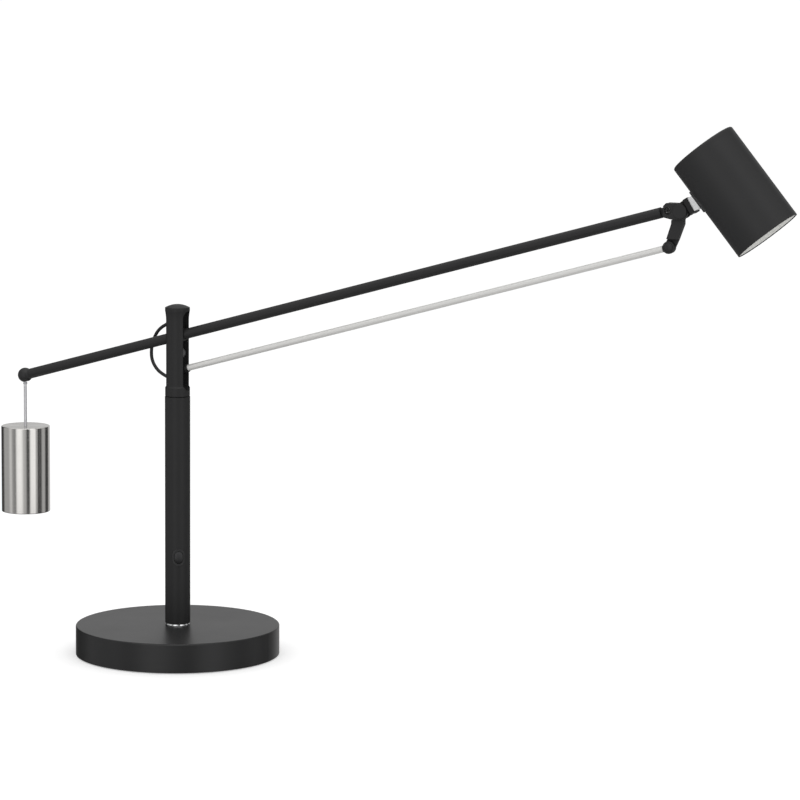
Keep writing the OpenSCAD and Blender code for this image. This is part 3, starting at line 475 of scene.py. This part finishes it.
def build(name, shape, source, material, place=None, crease=35.0):
    """Runs a tree on a line and keeps its result as a plain mesh that sits at the origin."""
    holder = bpy.data.objects.new(name + "_maker", source)
    bpy.context.scene.collection.objects.link(holder)
    modifier = holder.modifiers.new("shape", "NODES")
    modifier.node_group = shape.tree
    for key, value in shape.given.items():
        modifier[key] = value
    graph = bpy.context.evaluated_depsgraph_get()
    mesh = bpy.data.meshes.new_from_object(
        holder.evaluated_get(graph), preserve_all_data_layers=True, depsgraph=graph)
    if not mesh.polygons:
        raise RuntimeError(f"{name} came out empty")
    holder.modifiers.remove(modifier)
    bpy.data.objects.remove(holder)
    skin = bmesh.new()
    skin.from_mesh(mesh)
    bmesh.ops.remove_doubles(skin, verts=skin.verts, dist=1e-7)
    bmesh.ops.recalc_face_normals(skin, faces=skin.faces)
    if place is not None:
        bmesh.ops.transform(skin, matrix=place, verts=skin.verts)
    skin.to_mesh(mesh)
    skin.free()
    mesh.name = name
    mesh.materials.clear()
    mesh.materials.append(material)
    mesh.shade_smooth()
    mesh.set_sharp_from_angle(angle=math.radians(crease))
    made = bpy.data.objects.new(name, mesh)
    bpy.context.scene.collection.objects.link(made)
    return made


def lathe(shape, outline, turns):
    """Turns the tree's closed outline, given as radius in X and height in Z, round the Z axis."""
    points, turns = shape.count("Points of the outline", len(outline)), shape.count("Steps round", turns)
    grid = shape.node("GeometryNodeMeshGrid", None, {
        "Size X": 1.0, "Size Y": 1.0, "Vertices X": turns + 1.0, "Vertices Y": points + 1.0})
    here = shape.node("GeometryNodeInputPosition")
    row = shape.maths("ROUND", (shape.part(here, "Y") + 0.5) * points)
    at = shape.node("GeometryNodeSampleIndex", {"data_type": "FLOAT_VECTOR"}, {
        "Geometry": shape.line(), "Value": here, "Index": shape.maths("MODULO", row, points)})
    angle = (shape.part(here, "X") + 0.5) * (2 * math.pi)
    radius = shape.part(at, "X")
    place = shape.node("ShaderNodeCombineXYZ", None, {
        "X": radius * shape.maths("COSINE", angle), "Y": radius * shape.maths("SINE", angle),
        "Z": shape.part(at, "Z")})
    return shape.node("GeometryNodeMergeByDistance", None, {
        "Geometry": shape.position(grid, place), "Distance": 1e-6})


def smooth_route(points, steps=8):
    """A smooth line through the route's points."""
    ends = [points[0] * 2 - points[1]] + points + [points[-1] * 2 - points[-2]]
    line = []
    for i in range(1, len(ends) - 2):
        a, b, c, d = ends[i - 1:i + 3]
        for k in range(steps):
            t = k / steps
            line.append(0.5 * (2 * b + (c - a) * t + (2 * a - 5 * b + 4 * c - d) * t ** 2
                               + (3 * b - a - 3 * c + d) * t ** 3))
    return line + [points[-1]]


# What a user would change

class LampFinishes(bpy.types.PropertyGroup):
    coat: bpy.props.FloatVectorProperty(
        name="Black coat", description="Colour of the powder coat", subtype="COLOR", size=3, min=0, max=1,
        default=(0.0165, 0.0165, 0.017))
    coat_roughness: bpy.props.FloatProperty(
        name="Coat roughness", description="How matt the powder coat is", subtype="FACTOR", min=0.2, max=1,
        default=0.5)
    steel: bpy.props.FloatVectorProperty(
        name="Turned steel", description="Colour of the hanging weight", subtype="COLOR", size=3, min=0,
        max=1, default=(0.69, 0.675, 0.652))
    chrome: bpy.props.FloatVectorProperty(
        name="Bright plating", description="Colour of the ring, spacer and stem", subtype="COLOR",
        size=3, min=0, max=1, default=SLOT_COLOUR["polished_chrome"])
    rod: bpy.props.FloatVectorProperty(
        name="Rod", description="Colour of the thin satin rod", subtype="COLOR", size=3, min=0, max=1,
        default=(0.86, 0.855, 0.835))
    liner: bpy.props.FloatVectorProperty(
        name="Liner", description="Colour of the white enamel inside the shade", subtype="COLOR", size=3,
        min=0, max=1, default=SLOT_COLOUR["white_aluminium"])


class LampPieces(bpy.types.PropertyGroup):
    cable: bpy.props.FloatProperty(
        name="Cable", description="Diameter of the cable loop", unit="LENGTH", default=3.3 * MM, min=0.002,
        max=0.004)
    cable_sides: bpy.props.IntProperty(
        name="Cable sides", description="Sides of the cable's round section", default=20, min=8, max=48)
    turned_steps: bpy.props.IntProperty(
        name="Turned steps", description="Steps round the turned weight and ring", default=192, min=48,
        max=360)
    ribs: bpy.props.IntProperty(
        name="Bulb ribs", description="Cooling ribs round the bulb's body", default=30, min=8, max=60)
    rib: bpy.props.FloatProperty(
        name="Rib height", description="How far a rib stands out of the bulb's cone", unit="LENGTH",
        default=1.6 * MM, min=0.0002, max=0.003)
    domes: bpy.props.IntProperty(
        name="Lens domes", description="Small domes on the bulb's lens", default=120, min=20, max=300)


class LampStudio(bpy.types.PropertyGroup):
    lens: bpy.props.FloatProperty(
        name="Lens", description="Focal length of the camera, in millimetres", default=163.16, min=20,
        max=400)
    sky: bpy.props.FloatProperty(
        name="Sky", description="Level of the soft light from all round", default=0.8, min=0, max=2)
    key: bpy.props.FloatProperty(
        name="Key light", description="Power of the soft light above the lamp", unit="POWER", default=9.0,
        min=0, max=100)
    floor: bpy.props.FloatVectorProperty(
        name="Floor", description="Colour of the pale floor", subtype="COLOR", size=3, min=0, max=1,
        default=(0.86, 0.86, 0.86))


def looks():
    """The colours that the user has set."""
    return bpy.context.scene.lamp_finishes


# One operator for each piece or group of pieces

class LAMP_OT_studio(bpy.types.Operator):
    """Make the camera, the soft light and the pale floor"""
    bl_idname = "lamp.studio"
    bl_label = "Studio"

    def execute(self, context):
        studio = context.scene.lamp_studio
        lens = bpy.data.cameras.new("camera")
        lens.lens, lens.sensor_width, lens.sensor_fit = studio.lens, FILM_WIDTH, "HORIZONTAL"
        lens.clip_start, lens.clip_end = 0.1, 200.0
        camera = bpy.data.objects.new("camera", lens)
        camera.matrix_world = Matrix.Translation(CAMERA_PLACE) @ Matrix(CAMERA_AXES).transposed().to_4x4()
        context.scene.collection.objects.link(camera)
        context.scene.camera = camera
        context.scene.view_settings.view_transform = "Standard"
        self.sky(context.scene, studio.sky)
        self.floor(context.scene, studio.floor)
        self.key(context.scene, studio.key)
        return {"FINISHED"}

    def sky(self, scene, level):
        """White behind the lamp; metal sees tall soft boxes with dark gaps between them."""
        world = bpy.data.worlds.new("studio")
        world.use_nodes = True
        world.node_tree.nodes.clear()
        g = Graph(world.node_tree)
        view = g.node("ShaderNodeTexCoord", out="Generated")
        flat = g.vector("NORMALIZE", g.vector("MULTIPLY", view, (1.0, 1.0, 0.0)))
        height = g.node("ShaderNodeSeparateXYZ", None, {"Vector": view}, "Z")
        boxes = GAP_LEVEL
        for turn, half, edge, bright in SOFT_BOXES:
            towards = (math.cos(math.radians(turn)), math.sin(math.radians(turn)), 0.0)
            near = g.vector("DOT_PRODUCT", flat, towards, out="Value")
            box = g.step(near, math.cos(math.radians(half + edge)), math.cos(math.radians(half - edge)))
            boxes = box * bright + boxes
        top = g.step(height, 0.55, 0.8)
        low = g.step(height, -0.25, -0.6)
        seen = boxes * (1.0 - top) * (1.0 - low) + top * TOP_LEVEL + low * LOW_LEVEL
        path = self.rays(g)
        plain = g.node("ShaderNodeBackground", None, {"Color": (1, 1, 1, 1), "Strength": level})
        mirror = g.node("ShaderNodeBackground", None, {"Color": (1, 1, 1, 1), "Strength": seen})
        white = g.node("ShaderNodeBackground", None, {"Color": (1, 1, 1, 1), "Strength": 1.0})
        mixed = g.node("ShaderNodeMixShader", None, {0: path["Is Glossy Ray"], 1: plain, 2: mirror})
        mixed = g.node("ShaderNodeMixShader", None, {
            0: g.maths("MAXIMUM", path["Is Camera Ray"], path["Is Transmission Ray"]), 1: mixed, 2: white})
        g.node("ShaderNodeOutputWorld", None, {"Surface": mixed}, None)
        scene.world = world

    def rays(self, g):
        """Which kind of ray meets the surface."""
        made = g.tree.nodes.new("ShaderNodeLightPath")
        return {name: Output(g, made.outputs[name]) for name in (
            "Is Camera Ray", "Is Glossy Ray", "Is Transmission Ray")}

    def floor(self, scene, colour):
        """A pale floor that shows white round the lamp's own soft shadow."""
        mesh = bpy.data.meshes.new("floor")
        corners = ((-1, -1), (1, -1), (1, 1), (-1, 1))
        mesh.from_pydata([(x * FLOOR_REACH, y * FLOOR_REACH, FLOOR_HEIGHT) for x, y in corners],
                         [], [(0, 1, 2, 3)])
        ground = bpy.data.objects.new("floor", mesh)
        scene.collection.objects.link(ground)
        f = Finish("pale_floor")
        path = self.rays(f)
        seen = f.maths("MAXIMUM", path["Is Camera Ray"], path["Is Transmission Ray"])
        plain = f.node("ShaderNodeBsdfDiffuse", None, {"Color": tone(colour, 1.0)})
        lift = f.node("ShaderNodeEmission", None, {"Color": (1, 1, 1, 1), "Strength": seen * FLOOR_GLOW})
        both = f.node("ShaderNodeAddShader", None, {0: plain, 1: lift})
        f.node("ShaderNodeOutputMaterial", None, {"Surface": both}, None)
        mesh.materials.append(f.material)
        ground.visible_glossy = False

    def key(self, scene, power):
        """A wide soft light above the lamp, on its shade's side."""
        light = bpy.data.lights.new("key", "AREA")
        light.shape, light.size, light.energy = "SQUARE", KEY_SIZE, power
        lamp = bpy.data.objects.new("key", light)
        turn = (KEY_PLACE - KEY_AIM).to_track_quat("Z", "Y").to_matrix().to_4x4()
        lamp.matrix_world = Matrix.Translation(KEY_PLACE) @ turn
        scene.collection.objects.link(lamp)


class LAMP_OT_coat(bpy.types.Operator):
    """Coat the foot, column, head, arm, bracket and shade in matt black"""
    bl_idname = "lamp.coat"
    bl_label = "Black coat"

    def execute(self, context):
        coat, rough = looks().coat, looks().coat_roughness
        dress(["column_tube", "head_housing", "head_cap"], black_coat("black_coat", coat, rough))
        # Painted light: the lampshade, arm and castings below get lighter copies of the same coat, and the
        # castings and knuckle take stronger painted shade in their hollows
        dress(["shade_shell"], black_coat("black_coat_shade", tone(coat, 1.27), rough))
        dress(["base_cover"], black_coat("black_coat_foot", coat, rough - 0.14, grain=2400.0))
        dress(["arm_tube_long", "arm_tube_short", "arm_hub", "ball_end", "arm_tongue"],
              black_coat("black_coat_arm", tone(coat, 1.2), rough - 0.04, grain=2200.0))
        dress(["bracket", "tilt_cap", "rod_eye_shade", "link_pin"],
              black_coat("black_coat_castings", tone(coat, 1.25), rough - 0.06, grain=3000.0, edge=0.45 * MM,
                         hollow_shade=0.9))
        # Painted shade: the knuckle and the rod eye in the head's slot get a darker copy of the coat
        dress(["shade_knuckle", "rod_eye_head"],
              black_coat("black_coat_knuckle", tone(coat, 0.75), rough + 0.02, grain=3000.0, edge=0.4 * MM,
                         hollow_shade=0.9))
        return {"FINISHED"}


class LAMP_OT_metal(bpy.types.Operator):
    """Give the spacer, stem, rod, wire and hidden steel parts their metal"""
    bl_idname = "lamp.metal"
    bl_label = "Bare metal"

    def execute(self, context):
        look = looks()
        dress(["wire_ball"], bright_chrome("bright_chrome", look.chrome, 0.1))
        # Painted shade: the spacer inside the head's slot takes a dark copy of the bright plating, a fifth of
        # its colour
        dress(["cheek_spacer"],
              drawn_metal("ground_spacer", tone(look.chrome, 0.2), (0, 1, 0), 0.42, 3000.0, metallic=0.3))
        dress(["arm_screw"], blackened_steel("blackened_steel"))
        dress(["swivel_stem"],
              drawn_metal("brushed_stem", tone(look.chrome, 1.12), STEM_AXIS, 0.3, 5000.0, metallic=0.4))
        dress(["link_rod"], drawn_metal("satin_rod", look.rod, ARM_AXIS, 0.36, metallic=0.4))
        dress(["hanger_wire"],
              drawn_metal("drawn_wire", tone(SLOT_COLOUR["steel_wire"], 1.08), (0, 0, 1), 0.3, 6000.0))
        dress(["base_plate", "base_screw_1", "base_screw_2", "base_screw_3", "column_tie", "tie_nut",
               "column_plug", "spindle_clip", "arm_pivot_pin", "rod_pivot_pin", "spacer_screw", "wire_nut",
               "arm_screw_nut", "tilt_pin", "tilt_nut", "stem_nut", "lamp_stand"],
              zinc_plate("zinc_plate", SLOT_COLOUR["zinc_steel"]))
        dress(["base_weight"], rough_casting("rough_casting", SLOT_COLOUR["cast_iron"]))
        return {"FINISHED"}


class LAMP_OT_plastic(bpy.types.Operator):
    """Give the switch, saddles, gland, washer, bushing, collar and foam pad their plastics"""
    bl_idname = "lamp.plastic"
    bl_label = "Plastic and foam"

    def execute(self, context):
        black = SLOT_COLOUR["black_plastic"]
        dress(["switch_bezel", "switch_body"],
              moulded_plastic("switch_plastic", tone(black, 0.55), 0.5, rim=0.05))
        dress(["switch_button"],
              moulded_plastic("button_plastic", tone(black, 0.6), 0.48, grain=2200.0, depth=0.01, rim=0.05))
        dress(["cord_gland", "weight_plug", "saddle_plate", "inner_saddle"],
              moulded_plastic("black_plastic", tone(black, 0.7), 0.5))
        dress(["swivel_washer"], moulded_plastic("dark_washer", tone(black, 0.15), 0.8))
        grey = SLOT_COLOUR["grey_plastic"]
        dress(["column_bushing"], moulded_plastic("grey_plastic", grey, 0.5))
        dress(["wire_collar"], moulded_plastic("pale_collar", tone(grey, 1.8), 0.45))
        dress(["hanger_cup"], moulded_plastic("white_bearing", SLOT_COLOUR["white_plastic"], 0.4))
        dress(["foot_pad"], dense_foam("dense_foam", SLOT_COLOUR["black_foam"]))
        return {"FINISHED"}


class LAMP_OT_inside(bpy.types.Operator):
    """Give the inside of the shade its white enamel and the lamp holder its ceramic"""
    bl_idname = "lamp.inside"
    bl_label = "Inside of the shade"

    def execute(self, context):
        dress(["shade_liner"], white_enamel("white_enamel", looks().liner, 0.4))
        dress(["lamp_holder"], white_enamel("ceramic", SLOT_COLOUR["white_ceramic"], 0.28, peel=900.0))
        return {"FINISHED"}


class LAMP_OT_cable(bpy.types.Operator):
    """Run the black cable from the column, round beside the head and into the arm's hub"""
    bl_idname = "lamp.cable"
    bl_label = "Cable loop"

    def execute(self, context):
        sizes = context.scene.lamp_pieces
        line = smooth_route([Vector((x, y, z + HEAD_BOTTOM)) * MM for x, y, z in CABLE_ROUTE])
        jacket = cable_jacket("cable_jacket", tone(SLOT_COLOUR["cable_rubber"], 0.6))
        shape = Shape("cable_along_route")
        route = shape.node("GeometryNodeMeshToCurve", None, {"Mesh": shape.line()})
        section = shape.node("GeometryNodeCurvePrimitiveCircle", None, {
            "Resolution": shape.count("Sides", sizes.cable_sides),
            "Radius": shape.size("Cable diameter", sizes.cable) * 0.5})
        length = shape.node("GeometryNodeSplineParameter", out="Length")
        route, run = self.keep(shape, route, "FLOAT", length)
        section, edge = self.keep(shape, section, "VECTOR", shape.node("GeometryNodeInputPosition"))
        tube = shape.node("GeometryNodeCurveToMesh", None, {
            "Curve": route, "Profile Curve": section, "Fill Caps": True})
        flow = shape.node("ShaderNodeCombineXYZ", None, {
            "X": shape.part(edge, "X"), "Y": shape.part(edge, "Y"), "Z": run})
        tube = shape.node("GeometryNodeStoreNamedAttribute", {
            "data_type": "FLOAT_VECTOR", "domain": "POINT"}, {"Geometry": tube, "Name": "run", "Value": flow})
        shape.end(tube, jacket)
        cable = build("cable", shape, line_mesh("cable_route", line), jacket, crease=60.0)
        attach(cable, "head")
        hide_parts("loop_cable")
        long = sum((b - a).length for a, b in zip(line, line[1:]))
        return {"FINISHED"}

    def keep(self, shape, geometry, kind, value):
        """Keeps a value on a curve, so that the tube made from it still has it."""
        made = shape.tree.nodes.new("GeometryNodeCaptureAttribute")
        made.capture_items.new(kind, "kept")
        shape.tree.links.new(geometry.socket, made.inputs[0])
        shape.tree.links.new(value.socket, made.inputs[1])
        return Output(shape, made.outputs[0]), Output(shape, made.outputs[1])


class LAMP_OT_ring(bpy.types.Operator):
    """Turn the bright ring between foot and column, with its slightly tapered side"""
    bl_idname = "lamp.ring"
    bl_label = "Bright ring"

    def execute(self, context):
        low, high, r_low, r_high, edge, bore, slope = 29.0, 30.7, 11.8, 11.25, 0.25, 5.3, 18
        outline = [(bore, 0, high), (bore, 0, low)]
        outline += arc((r_low - edge, low + edge), edge, -90, slope)
        outline += arc((r_high - edge, high - edge), edge, slope, 90)
        outline = [Vector(p) * MM for p in outline]
        chrome = bright_chrome("ring_chrome", looks().chrome, 0.12)
        shape = Shape("turned_ring_outline")
        shape.end(lathe(shape, outline, context.scene.lamp_pieces.turned_steps), chrome)
        ring = build("bright_ring", shape, line_mesh("ring_outline", outline, True), chrome)
        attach(ring, "foot")
        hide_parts("column_ring")
        return {"FINISHED"}


class LAMP_OT_weight(bpy.types.Operator):
    """Turn the steel weight with its rounded edges and its bore for the wire"""
    bl_idname = "lamp.weight"
    bl_label = "Turned weight"

    def execute(self, context):
        r, h, edge, bore, chamber, lid, bevel, mouth = 24.1, 86.0, 0.8, 1.55, 6.0, 12.0, 0.5, 0.4
        outline = [(bore + bevel, 0, h), (bore, 0, h - bevel), (bore, 0, h - lid), (chamber, 0, h - lid),
                   (chamber, 0, mouth), (chamber + mouth, 0, 0)]
        outline += arc((r - edge, edge), edge, -90, 0) + arc((r - edge, h - edge), edge, 0, 90)
        outline = [Vector(p) * MM for p in outline]
        centre = BALL - Vector((0, 0, (WIRE_DROP + h) * MM))
        steel = turned_steel("turned_steel", looks().steel, (0.0, 0.0, 1.0), centre, 0.21)
        shape = Shape("turned_weight_outline")
        shape.end(lathe(shape, outline, context.scene.lamp_pieces.turned_steps), steel)
        weight = build("turned_weight", shape, line_mesh("weight_outline", outline, True), steel,
                       Matrix.Translation(centre))
        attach(weight, "weight")
        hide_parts("counterweight")
        return {"FINISHED"}


class LAMP_OT_bulb(bpy.types.Operator):
    """Make the reflector bulb with its cooling ribs, pins and domed lens"""
    bl_idname = "lamp.bulb"
    bl_label = "Bulb"

    def execute(self, context):
        sizes = context.scene.lamp_pieces
        self.body(sizes)
        self.lens(sizes)
        return {"FINISHED"}

    def body(self, sizes):
        back, neck, rim, face = -23.6, -33.6, BULB_FACE + 5.0, BULB_FACE
        neck_r, rim_r, seat_r, seat, bevel, lip, brim = 11.5, 25.0, 23.05, 1.6, 0.8, 0.6, 1.0
        rib_thick, rib_base, rib_sunk, rib_rows = 1.0, 0.8, 0.6, 10
        pin_r, pin_long, pin_out = 2.4, 6.0, 5.0
        outline = [(0, 0, back), (neck_r - bevel, 0, back), (neck_r, 0, back - bevel), (neck_r, 0, neck),
                   (rim_r - lip, 0, rim + brim), (rim_r, 0, rim), (rim_r, 0, face + lip),
                   (rim_r - lip, 0, face), (seat_r, 0, face), (seat_r, 0, face + seat), (0, 0, face + seat)]
        outline = [Vector(p) * MM for p in outline]
        white = white_enamel("bulb_shell", SLOT_COLOUR["white_bulb"], 0.45, peel=700.0)
        shape = Shape("ribbed_bulb")
        shell = lathe(shape, outline, BULB_STEPS)
        block = shape.node("GeometryNodeMeshCube", None, {
            "Size": (1.0, 1.0, 1.0), "Vertices X": 2, "Vertices Y": 2, "Vertices Z": rib_rows}, "Mesh")
        here = shape.node("GeometryNodeInputPosition")
        share = shape.part(here, "Z") + 0.5
        cone = neck_r * MM + (rim_r - rib_base - neck_r) * MM * (1.0 - share)
        swell = shape.maths("SINE", share * math.pi) * shape.size("Rib height", sizes.rib)
        radius = cone + (shape.part(here, "X") + 0.5) * (swell + rib_base * MM) - rib_sunk * MM
        rib = shape.position(block, shape.node("ShaderNodeCombineXYZ", None, {
            "X": radius, "Y": shape.part(here, "Y") * shape.size("Rib thickness", rib_thick * MM),
            "Z": share * ((neck + brim - rim) * MM) + rim * MM}))
        count = shape.count("Ribs", sizes.ribs)
        turn = shape.node("GeometryNodeInputIndex") * (2 * math.pi) / count
        ribs = shape.ring(rib, count, shape.node("ShaderNodeCombineXYZ", None, {"Z": turn}))
        pin = shape.node("GeometryNodeMeshCylinder", None, {
            "Vertices": 20, "Side Segments": 1, "Radius": pin_r * MM, "Depth": pin_long * MM}, "Mesh")
        pin = shape.node("GeometryNodeTransform", None, {
            "Geometry": pin, "Translation": (pin_out * MM, 0, (back + pin_long / 2) * MM)})
        half = shape.node("GeometryNodeInputIndex") * math.pi
        pins = shape.ring(pin, 2, shape.node("ShaderNodeCombineXYZ", None, {"Z": half}))
        shape.end(shape.join(shell, ribs, pins), white)
        body = build("ribbed_bulb", shape, line_mesh("bulb_outline", outline, True), white, SHADE_PLACE)
        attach(body, "shade")
        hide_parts("bulb_body")

    def lens(self, sizes):
        r, back, front, bevel = 23.0, BULB_FACE + 1.6, BULB_FACE + 0.4, 0.3
        dome_field, dome_r, dome_height, dome_depth = 21.4, 1.7, BULB_FACE + 0.45, 0.42
        outline = [(0, 0, back), (r, 0, back), (r, 0, front + bevel), (r - bevel, 0, front), (0, 0, front)]
        outline = [Vector(p) * MM for p in outline]
        glass = frosted_lens("frosted_lens", SLOT_COLOUR["white_glass"])
        shape = Shape("domed_lens")
        disc = lathe(shape, outline, BULB_STEPS)
        count = shape.count("Domes", sizes.domes)
        number = shape.node("GeometryNodeInputIndex") + 0.5
        reach = shape.maths("SQRT", number / count) * (dome_field * MM)
        spin = number * DOME_TURN
        spots = shape.node("GeometryNodePoints", None, {
            "Count": count, "Position": shape.node("ShaderNodeCombineXYZ", None, {
                "X": reach * shape.maths("COSINE", spin), "Y": reach * shape.maths("SINE", spin),
                "Z": dome_height * MM})})
        dome = shape.node("GeometryNodeMeshUVSphere", None, {
            "Segments": 10, "Rings": 6, "Radius": 1.0}, "Mesh")
        domes = shape.node("GeometryNodeInstanceOnPoints", None, {
            "Points": spots, "Instance": dome,
            "Scale": (dome_r * MM, dome_r * MM, dome_depth * MM)}, "Instances")
        shape.end(shape.join(disc, domes), glass)
        lens = build("domed_lens", shape, line_mesh("lens_outline", outline, True), glass, SHADE_PLACE)
        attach(lens, "shade")
        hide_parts("bulb_lens")


class LAMP_PT_panel(bpy.types.Panel):
    """Pieces and finishes of the desk lamp"""
    bl_idname = "LAMP_PT_panel"
    bl_label = "Balanced Desk Lamp"
    bl_space_type = "VIEW_3D"
    bl_region_type = "UI"
    bl_category = "Lamp"

    def draw(self, context):
        for group in (context.scene.lamp_finishes, context.scene.lamp_pieces, context.scene.lamp_studio):
            box = self.layout.box()
            for key in group.__annotations__:
                box.prop(group, key)
        for operator in STEPS:
            self.layout.operator(operator.bl_idname)


STEPS = (LAMP_OT_studio, LAMP_OT_cable, LAMP_OT_coat, LAMP_OT_metal, LAMP_OT_plastic, LAMP_OT_inside,
         LAMP_OT_ring, LAMP_OT_weight, LAMP_OT_bulb)
GROUPS = (LampFinishes, LampPieces, LampStudio)


def register():
    for kind in (*GROUPS, *STEPS, LAMP_PT_panel):
        bpy.utils.register_class(kind)
    bpy.types.Scene.lamp_finishes = bpy.props.PointerProperty(type=LampFinishes)
    bpy.types.Scene.lamp_pieces = bpy.props.PointerProperty(type=LampPieces)
    bpy.types.Scene.lamp_studio = bpy.props.PointerProperty(type=LampStudio)


def unregister():
    del bpy.types.Scene.lamp_finishes, bpy.types.Scene.lamp_pieces, bpy.types.Scene.lamp_studio
    for kind in reversed((*GROUPS, *STEPS, LAMP_PT_panel)):
        bpy.utils.unregister_class(kind)


def main():
    register()
    for step in STEPS:
        getattr(bpy.ops.lamp, step.bl_idname.split(".")[1])()


if __name__ == "__main__":
    main()
